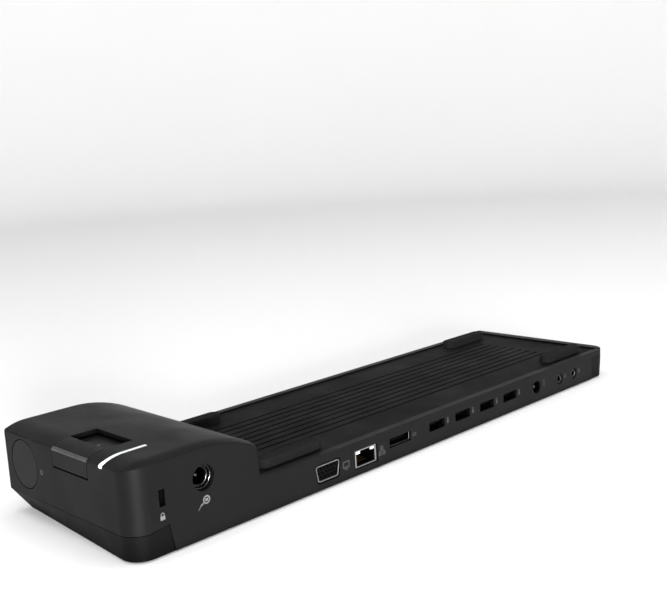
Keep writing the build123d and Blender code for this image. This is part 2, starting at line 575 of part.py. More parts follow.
with BuildPart() as inlet_rings:
    rod("Y", (INLET_X, INLET_Z), 10.9, (CURTAIN - 1.0, CURTAIN - 0.2))
    rod("Y", (INLET_X, INLET_Z), 10.1, (CURTAIN - 2, REAR), mode=Mode.SUBTRACT)
    rod("Y", (INLET_X, INLET_Z), 9.2, (CURTAIN - 2.4, CURTAIN - 1.2))
    rod("Y", (INLET_X, INLET_Z), 8.0, (CURTAIN - 3, CURTAIN), mode=Mode.SUBTRACT)
save(inlet_rings, "inlet_rings")

with BuildPart() as inlet_pin:
    rod("Y", (INLET_X, INLET_Z), 1.1, (REAR - 15, CURTAIN - 3.2))
save(inlet_pin, "inlet_pin")

# ------------------------------------------------------------------ video socket
VIDEO_GAP = 0.8  # between the opening and the shell
with BuildPart() as video_shell:
    extrude(d_shape(-VIDEO_GAP), amount=12.8)
    extrude(d_shape(-VIDEO_GAP - 0.5), amount=14.0, mode=Mode.SUBTRACT)
    box((VIDEO_X - 20, VIDEO_X + 20), (REAR - 0.2, REAR + 3), (0, 20), mode=Mode.SUBTRACT)
    box(both(VIDEO_X, 12.0), (CURTAIN - 0.9, CURTAIN - 0.05), (BOARD_TOP + 0.05, 14.0))
    extrude(d_shape(-VIDEO_GAP - 0.5), amount=14.0, mode=Mode.SUBTRACT)
save(video_shell, "video_shell")

PIN_PITCH, ROW_PITCH = 2.29, 1.98
with BuildPart() as video_insert:
    extrude(d_shape(-VIDEO_GAP - 0.55), amount=13.0)
    box((VIDEO_X - 20, VIDEO_X + 20), (REAR - 0.9, REAR + 3), (0, 20), mode=Mode.SUBTRACT)
    box(both(VIDEO_X, 11.5), (REAR - 22.5, REAR - 11.9), (BOARD_TOP, 13.8))
    for row in range(3):
        for column in range(5):
            x = VIDEO_X + (column - 2) * PIN_PITCH + (0.57 if row == 1 else -0.57)
            z = VIDEO_Z + (1 - row) * ROW_PITCH
            rod("Y", (x, z), 1.1, (REAR - 6.5, REAR + 1), mode=Mode.SUBTRACT)
save(video_insert, "video_insert")

# ------------------------------------------------------------------ network socket
NET_HALF_W, NET_HALF_H = NETWORK_SIZE[0] / 2 - 0.35, NETWORK_SIZE[1] / 2 - 0.35
NET_SIDE, NET_LID = 1.15, 0.5  # shield's side walls with their springs, and its floor and lid
NET_FACE = REAR - 0.8
with BuildPart() as network_shield:
    inner_w, inner_h = NET_HALF_W - NET_SIDE, NET_HALF_H - NET_LID
    box(both(NETWORK_X, NET_HALF_W), (REAR - 20.5, NET_FACE), both(NETWORK_Z, NET_HALF_H))
    box(both(NETWORK_X, inner_w), (REAR - 20, REAR), both(NETWORK_Z, inner_h), mode=Mode.SUBTRACT)
save(network_shield, "network_shield")

NET_CAVITY = (5.3, 10.8)  # foot and top of the plug's cavity
NET_LIGHT_X, NET_LIGHT_W = 4.95, 2.8
with BuildPart() as network_insert:
    body_half_w, body_half_h = inner_w - 0.05, inner_h - 0.05
    box(both(NETWORK_X, body_half_w), (REAR - 19.9, NET_FACE - 0.3), both(NETWORK_Z, body_half_h))
    box(both(NETWORK_X, 5.95), (REAR - 16.5, REAR), NET_CAVITY, mode=Mode.SUBTRACT)
    box(both(NETWORK_X, 3.0), (REAR - 14.5, REAR), (NET_CAVITY[0], 11.7), mode=Mode.SUBTRACT)
    for side in (-1, 1):
        light_span = both(NETWORK_X + side * NET_LIGHT_X, NET_LIGHT_W / 2)
        box(light_span, (REAR - 12.5, REAR), (NET_CAVITY[1] + 0.1, 12.0), mode=Mode.SUBTRACT)
save(network_insert, "network_insert")

with BuildPart() as network_lights:
    for side in (-1, 1):
        light_span = both(NETWORK_X + side * NET_LIGHT_X, NET_LIGHT_W / 2 - 0.1)
        box(light_span, (REAR - 12.5, NET_FACE - 0.2), (NET_CAVITY[1] + 0.15, 11.95))
save(network_lights, "network_lights")

with BuildPart() as network_contacts:
    for i in range(8):
        x = NETWORK_X + (i - 3.5) * 1.02
        with BuildSketch(Plane.YZ.offset(x - 0.22)):
            wire = [(16.1, 0.05), (4.3, 0.05), (4.3, 0.3), (14.1, 1.7), (14.3, 1.4)]
            Polygon(*[(REAR - back, NET_CAVITY[0] + rise) for back, rise in wire], align=None)
        extrude(amount=0.44)
save(network_contacts, "network_contacts")


# ------------------------------------------------------------------ display and USB sockets
def socket_shell(x, z, size, grow, face):
    """Folded metal shell of a socket, open at the rear: grow is how far it lies outside the window."""
    half_w, half_h = size[0] / 2 + grow, size[1] / 2 + grow
    box(both(x, half_w), (REAR - 14.5, face), both(z, half_h))
    box(both(x, half_w - 0.4), (REAR - 15.5, REAR), both(z, half_h - 0.4), mode=Mode.SUBTRACT)


def socket_insert(x, z, size, tongue_w, tongue_z, tongue_h):
    """Plastic body of a flat socket: riser on the board, back block and contact tongue."""
    half_w = size[0] / 2
    shell_foot = z - size[1] / 2 - 0.6
    box(both(x, half_w), (REAR - 18, REAR - 14.55), (BOARD_TOP, z + size[1] / 2))
    box(both(x, half_w), (REAR - 14.6, CURTAIN - 0.2), (BOARD_TOP, shell_foot))
    box(both(x, tongue_w / 2), (REAR - 14.6, REAR - 2.8), both(tongue_z, tongue_h / 2))


with BuildPart() as display_shell:
    socket_shell(DISPLAY_X, DISPLAY_Z, DISPLAY_SIZE, -0.15, REAR - 1.0)
save(display_shell, "display_shell")

with BuildPart() as display_insert:
    socket_insert(DISPLAY_X, DISPLAY_Z, DISPLAY_SIZE, 12.4, DISPLAY_Z + 0.2, 1.2)
save(display_insert, "display_insert")

TONGUE_Z = USB_Z + 0.9
TONGUE_H = 1.8
with BuildPart() as usb_shells:
    for x in USB_X:
        socket_shell(x, USB_Z, USB_SIZE, 0.55, CURTAIN - 0.05)
save(usb_shells, "usb_shells")

with BuildPart() as usb_inserts:
    for x in USB_X:
        socket_insert(x, USB_Z, USB_SIZE, 11.0, TONGUE_Z, TONGUE_H)
save(usb_inserts, "usb_inserts")

with BuildPart() as usb_contacts:
    for x in USB_X:
        for i in range(4):
            z = TONGUE_Z - TONGUE_H / 2 - 0.08
            box(both(x + (i - 1.5) * 2.3, 0.5), (REAR - 13.5, REAR - 3.4), both(z, 0.07))
save(usb_contacts, "usb_contacts")

# ------------------------------------------------------------------ round sockets
with BuildPart() as round_jack_body:
    box(both(ROUND_X, 5.6), (REAR - 17.5, CURTAIN - 0.05), (BOARD_TOP, 14.1))
    rod("Y", (ROUND_X, ROUND_Z), ROUND_D - 0.2, (CURTAIN - 1, REAR - 0.4))
    rod("Y", (ROUND_X, ROUND_Z), 6.4, (REAR - 14.5, REAR), mode=Mode.SUBTRACT)
save(round_jack_body, "round_jack_body")

with BuildPart() as round_jack_pin:
    rod("Y", (ROUND_X, ROUND_Z), 1.8, (REAR - 14.5, REAR - 1.6))
    fillet(round_jack_pin.faces().sort_by(Axis.Y)[-1].edges(), 0.5)
save(round_jack_pin, "round_jack_pin")

with BuildPart() as audio_jack_bodies:
    for x in AUDIO_X:
        box(both(x, 4.4), (REAR - 17.5, CURTAIN - 0.05), (BOARD_TOP, 13.6))
        rod("Y", (x, AUDIO_Z), AUDIO_D - 0.2, (CURTAIN - 1, REAR - 0.3))
        rod("Y", (x, AUDIO_Z), AUDIO_BORE, (REAR - 15, REAR), mode=Mode.SUBTRACT)
        rod("Y", (x, AUDIO_Z), 5.0, (REAR - 1.3, REAR), mode=Mode.SUBTRACT)
save(audio_jack_bodies, "audio_jack_bodies")

with BuildPart() as audio_jack_rings:
    for x in AUDIO_X:
        rod("Y", (x, AUDIO_Z), 4.96, (REAR - 1.3, REAR - 0.5))
        rod("Y", (x, AUDIO_Z), AUDIO_BORE, (REAR - 2, REAR), mode=Mode.SUBTRACT)
save(audio_jack_rings, "audio_jack_rings")

# ------------------------------------------------------------------ boards, chips and ballast
with BuildPart() as main_board:
    box(BOARD_SPAN, (BOARD_FRONT, CURTAIN - 0.4), (BOARD_TOP - BOARD_THICK, BOARD_TOP))
save(main_board, "main_board")

CHIPS = [
    (-70, 20, 14, 14), (-20, 20, 12, 12), (25, 20, 10, 10),
    (-110, 20, 7, 7), (60, 18, 8, 6), (88, 20, 6, 8),
]  # place and size of each package
with BuildPart() as board_chips:
    for x, y, w, d in CHIPS:
        box(both(x, w / 2), both(y, d / 2), (BOARD_TOP, BOARD_TOP + 1.4))
save(board_chips, "board_chips")

with BuildPart() as heat_spreader:
    box((-82, 34), (11.5, 28.5), (BOARD_TOP + 1.4, BOARD_TOP + 2.6))
    for i in range(12):
        box(both(-76 + 9.4 * i, 0.6), (12.5, 27.5), (BOARD_TOP + 2.6, BOARD_TOP + 6.0))
save(heat_spreader, "heat_spreader")

with BuildPart() as board_capacitors:
    for x in (44.0, 100.0, -122.0, -155.0):
        rod("Z", (x, 16.0), 6.3, (BOARD_TOP, BOARD_TOP + 7.5))
save(board_capacitors, "board_capacitors")

with BuildPart() as ballast_plate:
    box((-160, 98), (-42.0, 6.5), (FLOOR_TOP + 0.05, FLOOR_TOP + 1.55))
    for x, y in DECK_POSTS:
        rod("Z", (x, y), 8.5, (0, 10), mode=Mode.SUBTRACT)
save(ballast_plate, "ballast_plate")

# ------------------------------------------------------------------ feet, screws and label
with BuildPart() as rubber_feet:
    with BuildSketch():
        with Locations(FEET):
            SlotOverall(24.0, 8.0)
    extrude(amount=BASE + 0.6)
    fillet(rubber_feet.faces().group_by(Axis.Z)[0].edges(), 0.4)
save(rubber_feet, "rubber_feet")

with BuildPart() as casing_screws:
    for x, y in DECK_POSTS + BLOCK_POSTS:
        rod("Z", (x, y), 5.6, (BASE + 1.0, BASE + 3.0))
        rod("Z", (x, y), 3.0, (BASE + 3.0, POST_SPLIT + 5.5))
        with Locations((x, y, BASE + 1.5)):
            Box(0.7, 3.2, 1.1, mode=Mode.SUBTRACT)
            Box(3.2, 0.7, 1.1, mode=Mode.SUBTRACT)
save(casing_screws, "casing_screws")

with BuildPart() as label_plate:
    box((-79.8, -40.2), (-31.8, -12.2), (BASE + 0.02, BASE + 0.28))
save(label_plate, "label_plate")
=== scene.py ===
"""Looks of the slim docking station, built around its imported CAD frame. Metres, +Z up, rear face at +Y."""

import json
import math

import bmesh
import bpy
from mathutils import Matrix, Vector


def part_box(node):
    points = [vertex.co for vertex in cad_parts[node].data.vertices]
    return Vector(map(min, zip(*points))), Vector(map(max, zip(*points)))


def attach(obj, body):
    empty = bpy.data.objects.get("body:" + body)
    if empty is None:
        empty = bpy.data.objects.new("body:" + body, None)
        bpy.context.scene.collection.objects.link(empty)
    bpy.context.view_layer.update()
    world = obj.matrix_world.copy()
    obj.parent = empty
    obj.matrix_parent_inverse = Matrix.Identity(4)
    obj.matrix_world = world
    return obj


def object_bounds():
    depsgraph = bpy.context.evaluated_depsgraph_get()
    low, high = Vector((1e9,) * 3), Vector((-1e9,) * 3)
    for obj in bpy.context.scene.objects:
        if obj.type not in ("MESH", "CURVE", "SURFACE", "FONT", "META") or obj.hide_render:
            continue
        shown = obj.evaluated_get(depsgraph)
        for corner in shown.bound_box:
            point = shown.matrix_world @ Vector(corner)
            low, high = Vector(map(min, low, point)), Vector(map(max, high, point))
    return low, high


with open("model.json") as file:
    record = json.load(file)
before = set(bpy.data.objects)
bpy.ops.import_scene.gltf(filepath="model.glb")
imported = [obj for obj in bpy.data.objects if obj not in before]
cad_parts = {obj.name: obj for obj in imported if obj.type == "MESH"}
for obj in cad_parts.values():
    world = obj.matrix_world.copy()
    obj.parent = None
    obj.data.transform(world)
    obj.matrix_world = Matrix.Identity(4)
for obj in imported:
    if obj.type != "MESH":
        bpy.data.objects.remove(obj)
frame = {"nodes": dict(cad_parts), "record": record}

CAD_BOX = [list(corner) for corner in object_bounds()]
NODES = frame["nodes"]

MM = 0.001
END = CAD_BOX[1][0]  # the block's end face
REAR = CAD_BOX[1][1]  # the rear face with the sockets
PRINT_PROUD = 0.012 * MM  # printed marks stand this far out of the plastic
BEVEL_SAMPLES = 4
AIR_SAMPLES = 6


# ------------------------------------------------------------------ camera
CAMERA_PLACE = (END + 203.75 * MM, REAR + 326.45 * MM, 170.6 * MM)
CAMERA_AZIMUTH = math.radians(135.39)
CAMERA_ELEVATION = math.radians(10.41)
CAMERA_ROLL = math.radians(3.32)
LENS = 54.59


def make_camera():
    level = math.cos(CAMERA_ELEVATION)
    ahead = Vector((
        -math.sin(CAMERA_AZIMUTH) * level,
        math.cos(CAMERA_AZIMUTH) * level,
        -math.sin(CAMERA_ELEVATION),
    ))
    flat_right = ahead.cross(Vector((0, 0, 1))).normalized()
    flat_up = flat_right.cross(ahead)
    right = flat_right * math.cos(CAMERA_ROLL) - flat_up * math.sin(CAMERA_ROLL)
    up = right.cross(ahead)
    turn = Matrix((right, up, -ahead)).transposed().to_4x4()
    data = bpy.data.cameras.new("camera")
    data.lens = LENS
    data.clip_start = 0.01
    camera = bpy.data.objects.new("camera", data)
    camera.matrix_world = Matrix.Translation(CAMERA_PLACE) @ turn
    bpy.context.scene.collection.objects.link(camera)
    bpy.context.scene.camera = camera


# ------------------------------------------------------------------ shader helpers
class Shader:
    """A Principled material whose varying inputs are built from texture nodes."""

    def __init__(self, name, colour, roughness, **constants):
        self.material = bpy.data.materials.new(name)
        self.material.use_nodes = True
        self.tree = self.material.node_tree
        self.surface = self.tree.nodes["Principled BSDF"]
        self.set(self.surface, **{"Base Color": (*colour, 1.0), "Roughness": roughness, **constants})
        self.place = self.node("ShaderNodeTexCoord").outputs["Object"]
        self.material.diffuse_color = (*colour, 1.0)

    def node(self, kind, **inputs):
        made = self.tree.nodes.new(kind)
        self.set(made, **inputs)
        return made

    def set(self, node, **inputs):
        for name, value in inputs.items():
            if isinstance(value, bpy.types.NodeSocket):
                self.tree.links.new(value, node.inputs[name])
            else:
                node.inputs[name].default_value = value

    def noise(self, size, detail=2.0, stretch=(1, 1, 1)):
        """Noise whose features are about size metres across, longer along an axis stretched under 1."""
        place = self.place
        if stretch != (1, 1, 1):
            place = self.node("ShaderNodeMapping", Vector=place, Scale=stretch).outputs["Vector"]
        made = self.node("ShaderNodeTexNoise", Vector=place, Scale=1.0 / size, Detail=detail)
        return made.outputs[0]

    def spread(self, value, low, high, start=0.3, stop=0.7):
        """Maps value from start..stop to low..high."""
        names = {"From Min": start, "From Max": stop, "To Min": low, "To Max": high}
        return self.node("ShaderNodeMapRange", Value=value, **names).outputs["Result"]

    def times(self, a, b):
        made = self.node("ShaderNodeMath")
        made.operation = "MULTIPLY"
        self.tree.links.new(a, made.inputs[0])
        if isinstance(b, bpy.types.NodeSocket):
            self.tree.links.new(b, made.inputs[1])
        else:
            made.inputs[1].default_value = b
        return made.outputs[0]

    def mix(self, factor, a, b):
        """Blends two colours, each a colour socket or three numbers."""
        made = self.node("ShaderNodeMix")
        made.data_type = "RGBA"
        factor_input, first_colour, second_colour, colour_output = 0, 6, 7, 2
        self.tree.links.new(factor, made.inputs[factor_input])
        for index, colour in ((first_colour, a), (second_colour, b)):
            if isinstance(colour, bpy.types.NodeSocket):
                self.tree.links.new(colour, made.inputs[index])
            else:
                made.inputs[index].default_value = (*colour, 1.0)
        return made.outputs[colour_output]

    def edges(self, radius):
        """(normal that rounds sharp edges off, mask that is 1 on those edges)"""
        rounded = self.node("ShaderNodeBevel", Radius=radius)
        rounded.samples = BEVEL_SAMPLES
        flat = self.node("ShaderNodeNewGeometry").outputs["Normal"]
        likeness = self.node("ShaderNodeVectorMath")
        likeness.operation = "DOT_PRODUCT"
        self.tree.links.new(rounded.outputs["Normal"], likeness.inputs[0])
        self.tree.links.new(flat, likeness.inputs[1])
        mask = self.spread(likeness.outputs["Value"], 0.0, 1.0, start=0.995, stop=0.86)
        return rounded.outputs["Normal"], mask

    def painted_shade_mask(self, reach, darkest=0.0):
        """Painted shade mask: 1 out in the open and falling to darkest deep in seams and hollows, judged over
        the given reach.
        """
        made = self.node("ShaderNodeAmbientOcclusion", Distance=reach)
        made.samples = AIR_SAMPLES
        return self.spread(made.outputs["AO"], darkest, 1.0, start=0.15, stop=0.8)

    def bump(self, height, depth, strength, normal=None):
        made = self.node("ShaderNodeBump", Height=height, Distance=depth, Strength=strength)
        if normal is not None:
            self.tree.links.new(normal, made.inputs["Normal"])
        self.tree.links.new(made.outputs["Normal"], self.surface.inputs["Normal"])


def shade(colour, factor):
    return tuple(min(1.0, channel * factor) for channel in colour)


def plastic(name, colour, roughness, grain=0.32 * MM, depth=0.02 * MM, edge=0.3 * MM, wear=0.3,
            specular=0.085, reach=7 * MM):
    """Moulded plastic: spark-eroded grain, cloudy colour, edges rubbed lighter, painted shade in seams and
    hollows over the given reach.
    """
    made = Shader(name, colour, roughness, **{"Specular IOR Level": specular})
    normal, on_edge = made.edges(edge)
    rubbed = made.times(made.times(on_edge, made.spread(made.noise(6 * MM, 4.0), 0.2, 1.0)), wear)
    clouds = made.spread(made.noise(38 * MM, 3.0), 0.0, 1.0)
    cloudy = made.mix(clouds, shade(colour, 0.93), shade(colour, 1.07))
    speckled = made.mix(made.spread(made.noise(grain * 1.6, 1.0), 0.0, 0.35), cloudy, shade(colour, 1.3))
    rubbed_down = made.mix(rubbed, speckled, shade(colour, 2.2))
    painted_shade_mask = made.painted_shade_mask(reach)
    # painted shade: the colour falls to near black in seams and hollows
    coloured = made.mix(painted_shade_mask, shade(colour, 0.03), rubbed_down)
    handled = made.spread(made.noise(22 * MM, 5.0), roughness - 0.05, roughness + 0.06)
    smooth = made.node("ShaderNodeMath", Value=0.0)
    smooth.operation = "SUBTRACT"
    made.tree.links.new(handled, smooth.inputs[0])
    made.tree.links.new(made.times(rubbed, 0.22), smooth.inputs[1])
    made.set(made.surface, **{
        "Base Color": coloured,
        "Roughness": smooth.outputs[0],
        # painted shade on the reflections too: the specular level falls in seams and hollows
        "Specular IOR Level": made.times(painted_shade_mask, specular),
    })
    made.bump(made.noise(grain, 3.0), depth, 0.55, normal)
    return made.material


def metal(name, colour, roughness, brushed=(1, 1, 1), edge=0.12 * MM, tarnish=0.75):
    """Plated, turned or brushed metal: fine lines along the axis stretched under 1, tarnish, painted
    highlights on its edges, painted shade in its hollows.
    """
    made = Shader(name, colour, roughness, Metallic=1.0)
    normal, on_edge = made.edges(edge)
    lines = made.noise(0.11 * MM, 3.0, brushed)
    stained = made.mix(made.spread(made.noise(5 * MM, 4.0), 0.0, 1.0), shade(colour, tarnish), colour)
    # painted highlight: the colour is lighter along sharp edges
    bright = made.mix(made.times(on_edge, 0.5), stained, shade(colour, 1.15))
    made.set(made.surface, **{
        # painted shade: the colour falls to near black in hollows
        "Base Color": made.mix(made.painted_shade_mask(4 * MM), (0.004, 0.004, 0.004), bright),
        "Roughness": made.spread(lines, roughness - 0.07, roughness + 0.09),
    })
    made.bump(lines, 0.006 * MM, 0.5, normal)
    return made.material


def chrome_painted_shade_and_highlights(name):
    """Plated metal painted near black for the shade it sits in, with painted highlights along its edges."""
    made = Shader(name, (0.03, 0.03, 0.03), 0.3, Metallic=1.0)
    normal, on_edge = made.edges(0.16 * MM)
    # painted highlights: bright edges over the colour painted near black for shade
    patchy = made.times(on_edge, made.spread(made.noise(1.5 * MM, 2.0), 0.7, 1.0))
    made.set(made.surface, **{"Base Color": made.mix(patchy, (0.03, 0.03, 0.03), (0.85, 0.85, 0.85))})
    made.bump(made.noise(0.2 * MM, 2.0), 0.004 * MM, 0.4, normal)
    return made.material


def rubber(name, colour):
    """Matt rubber with a dusty bloom on its raised edges."""
    made = Shader(name, colour, 0.85, **{"Specular IOR Level": 0.08})
    normal, on_edge = made.edges(0.4 * MM)
    dust = made.times(on_edge, made.spread(made.noise(2.5 * MM, 5.0), 0.1, 0.8))
    made.set(made.surface, **{"Base Color": made.mix(dust, colour, shade(colour, 2.6))})
    made.bump(made.noise(0.5 * MM, 4.0), 0.03 * MM, 0.6, normal)
    return made.material


def board(name, colour):
    """Solder mask with the fine ridges of the tracks under it."""
    made = Shader(name, colour, 0.42)
    tracks = made.noise(1.1 * MM, 0.0, (0.12, 1, 1))
    ridge = made.spread(tracks, 0.0, 1.0, start=0.49, stop=0.51)
    made.set(made.surface, **{"Base Color": made.mix(ridge, shade(colour, 0.75), shade(colour, 1.25))})
    made.bump(ridge, 0.03 * MM, 0.5)
    return made.material


def light_guide(name, colour, strength, towards_tip):
    """Frosted light guide, lit from inside and brighter towards the end face where told to."""
    made = Shader(name, colour, 0.3, **{"Specular IOR Level": 0.5, "Emission Strength": strength})
    frosted = made.spread(made.noise(0.9 * MM, 3.0), 0.86, 1.0)
    parts = made.node("ShaderNodeSeparateXYZ", Vector=made.place)
    near = END - 26 * MM
    fade = made.spread(parts.outputs["X"], 1.0 - towards_tip, 1.0, start=near, stop=END)
    glow = made.mix(made.times(frosted, fade), (0, 0, 0), colour)
    made.set(made.surface, **{"Emission Color": glow})
    made.bump(made.noise(0.5 * MM, 2.0), 0.01 * MM, 0.4)
    return made.material


def ink(name, grey):
    """Pad-printed ink, slightly patchy."""
    made = Shader(name, (grey, grey, grey * 1.01), 0.55)
    patchy = made.mix(made.spread(made.noise(0.7 * MM, 3.0), 0.0, 1.0), (grey * 0.72,) * 3, (grey,) * 3)
    made.set(made.surface, **{"Base Color": patchy})
    made.bump(made.noise(0.2 * MM, 2.0), 0.008 * MM, 0.4)
    return made.material


# ------------------------------------------------------------------ materials of the CAD nodes
def dress_nodes():
    charcoal = (0.0042, 0.0042, 0.0043)
    black = (0.0035, 0.0035, 0.0036)
    casing = plastic("casing_plastic", charcoal, 0.5)
    # painted shade: the lower casing is a darker copy of the casing plastic, with weaker reflections and a
    # longer reach of painted shade, for its undercut that faces the floor
    band = plastic("band_plastic_painted_shade", shade(charcoal, 0.7), 0.5, specular=0.06, reach=20 * MM)
    deck = plastic("deck_plastic", black, 0.6, grain=0.5 * MM, depth=0.04 * MM, specular=0.04)
    lever = plastic("lever_plastic", shade(charcoal, 1.02), 0.46, grain=0.26 * MM, depth=0.012 * MM)
    button = plastic("button_plastic", shade(charcoal, 1.05), 0.44, grain=0.26 * MM, depth=0.012 * MM)
    mechanism = plastic("mechanism_plastic", (0.05, 0.05, 0.053), 0.5)
    # longer reach of painted shade, darkening deep into the socket windows
    socket = plastic("socket_plastic", shade(black, 0.6), 0.55, grain=0.2 * MM, depth=0.01 * MM,
                     edge=0.1 * MM, specular=0.02, reach=12 * MM)
    steel = metal("steel", (0.56, 0.56, 0.57), 0.32, brushed=(0.08, 1, 1))
    trim = metal("trim_metal", (0.12, 0.12, 0.125), 0.36, brushed=(1, 0.05, 1))
    plated = metal("socket_metal", (0.5, 0.5, 0.49), 0.28)
    shell = metal("shell_metal", (0.32, 0.32, 0.32), 0.33)
    chrome = chrome_painted_shade_and_highlights("inlet_chrome")
    gold = metal("contacts", (0.55, 0.4, 0.18), 0.3)
    heat = metal("heat_sink", (0.6, 0.6, 0.62), 0.38, brushed=(1, 0.06, 1))
    can = metal("capacitor", (0.58, 0.58, 0.6), 0.3, brushed=(1, 1, 0.1))
    feet = rubber("rubber", (0.006, 0.006, 0.0062))
    mask = board("board", (0.016, 0.085, 0.04))
    chip = plastic("chips", (0.018, 0.018, 0.019), 0.6, grain=0.15 * MM)
    lead = plastic("lead", (0.62, 0.5, 0.24), 0.4, grain=0.6 * MM, depth=0.008 * MM)
    blank = plastic("label", (0.42, 0.42, 0.41), 0.5, grain=0.2 * MM, depth=0.006 * MM, wear=0.2)
    strip = light_guide("light_strip", (0.6, 0.61, 0.63), 0.3, 0.25)
    tip = light_guide("light_tip", (0.95, 0.97, 1.0), 0.8, 0.0)
    windows = light_guide("light_window", (0.8, 0.82, 0.8), 0.35, 0.0)
    dressed = {
        casing: ["upper_casing"],
        band: ["lower_casing"],
        deck: ["bay_deck"],
        lever: ["dock_lever"],
        button: ["power_button"],
        mechanism: ["connector_carriage", "button_bracket"],
        socket: ["docking_connector", "switch_plunger", "button_switch", "inlet_body", "video_insert",
                 "network_insert", "display_insert", "usb_inserts", "round_jack_body", "audio_jack_bodies"],
        steel: ["guide_rails", "rail_bracket", "rail_clips", "guide_pins", "carriage_screws", "detent_spring",
                "ballast_plate", "casing_screws"],
        trim: ["lever_trim", "inlet_pin", "round_jack_pin", "lock_plate"],
        shell: ["video_shell"],
        # rings and shells painted near black for the shade in their recesses, with painted highlights on
        # their edges
        chrome: ["inlet_rings", "audio_jack_rings", "display_shell", "usb_shells"],
        plated: ["network_shield"],
        gold: ["docking_contacts", "network_contacts", "usb_contacts"],
        heat: ["heat_spreader"],
        can: ["board_capacitors"],
        feet: ["rubber_feet", "deck_rests"],
        mask: ["button_board", "light_board", "inlet_board", "main_board"],
        chip: ["board_chips"],
        lead: ["button_lead", "docking_lead"],
        blank: ["label_plate"],
        strip: ["light_bar"],
        tip: ["light_lens"],
        windows: ["network_lights", "status_leds"],
    }
    for material, names in dressed.items():
        for name in names:
            slots = NODES[name].data.materials
            slots.clear()
            slots.append(material)
    left_out = set(NODES) - {name for names in dressed.values() for name in names}
    assert not left_out, left_out


# ------------------------------------------------------------------ printed marks: outlines in millimetres
def bar(a, b, width):
    """A straight stroke from a to b."""
    along = (Vector(b) - Vector(a)).normalized()
    side = Vector((-along.y, along.x)) * width / 2
    return [[Vector(a) + side, Vector(a) - side, Vector(b) - side, Vector(b) + side]]


def ring(centre, radius, width, start=0.0, stop=360.0, steps=24):
    """An arc of the given radius, drawn width wide. Angles in degrees, counter-clockwise from the right."""
    made = []
    for i in range(steps):
        corners = []
        for step, reach in ((i, -0.5), (i, 0.5), (i + 1, 0.5), (i + 1, -0.5)):
            angle = math.radians(start + (stop - start) * step / steps)
            distance = radius + reach * width
            corners.append(Vector((math.cos(angle), math.sin(angle))) * distance + Vector(centre))
        made.append(corners)
    return made


def rectangle(low, high, width):
    """The outline of a rectangle."""
    (x0, y0), (x1, y1) = low, high
    half = width / 2
    sides = [((x0 - half, y0), (x1 + half, y0)), ((x0 - half, y1), (x1 + half, y1))]
    posts = [((x0, y0 + half), (x0, y1 - half)), ((x1, y0 + half), (x1, y1 - half))]
    return [stroke for a, b in sides + posts for stroke in bar(a, b, width)]


def block(low, high):
    """A filled rectangle."""
    middle = (low[1] + high[1]) / 2
    return bar((low[0], middle), (high[0], middle), high[1] - low[1])


def padlock():
    shackle = ring((0, 0.35), 0.75, 0.36, 0, 180, 12) + bar((-0.75, 0.35), (-0.75, -0.2), 0.36)
    return shackle + bar((0.75, 0.35), (0.75, -0.2), 0.36) + block((-1.15, -1.9), (1.15, -0.2))


def power_plug():
    body = ring((0.9, 0.6), 1.25, 0.5) + block((0.3, 0.1), (1.5, 1.1))
    return body + bar((-0.1, -0.1), (-1.6, -0.9), 0.55) + bar((-1.6, -0.9), (-2.7, -2.3), 0.22)


def screen():
    return rectangle((-1.5, -0.8), (1.5, 1.3), 0.28) + block((-0.9, -1.6), (0.9, -1.3))


def linked_boxes():
    middles = ((0, 1.1), (-1.1, -1.1), (1.1, -1.1))
    boxes = [rectangle((x - 0.55, y - 0.45), (x + 0.55, y + 0.45), 0.26) for x, y in middles]
    lines = bar((0, 0.6), (0, 0), 0.22) + bar((-1.1, 0), (1.1, 0), 0.22)
    drops = bar((-1.1, 0), (-1.1, -0.6), 0.22) + bar((1.1, 0), (1.1, -0.6), 0.22)
    return [polygon for part in boxes for polygon in part] + lines + drops


def small_screen():
    return rectangle((-1.2, -0.4), (1.2, 0.7), 0.24)


def data_plug():
    pins = block((-0.28, 1.35), (-0.08, 1.75)) + block((0.08, 1.35), (0.28, 1.75))
    return rectangle((-0.4, 0.6), (0.4, 1.9), 0.18) + block((-0.5, -1.2), (0.5, 0.5)) + pins


def upright_line():
    return block((-0.22, -2.3), (0.22, 2.3))


def headphones():
    cups = block((-1.15, -1.0), (-0.6, 0.2)) + block((0.6, -1.0), (1.15, 0.2))
    return ring((0, 0.1), 0.95, 0.24, 0, 180, 14) + cups


def microphone():
    cradle = ring((0, 0.0), 0.85, 0.2, 180, 360, 12) + bar((0, -0.85), (0, -1.4), 0.2)
    return cradle + block((-0.38, -0.3), (0.38, 1.3)) + bar((-0.6, -1.4), (0.6, -1.4), 0.2)


def power_sign():
    return ring((0, 0), 1.1, 0.34, -225, 45, 22) + bar((0, 0.35), (0, 1.6), 0.34)


def pull_sign():
    """An arrowhead that points out of the block, and the line it leaves."""
    return [[Vector((0.4, 1.0)), Vector((0.4, -1.0)), Vector((1.7, 0.0))]] + block((-1.1, -0.18), (0.4, 0.18))


def scaled(outlines, factor):
    return [[point * factor for point in outline] for outline in outlines]


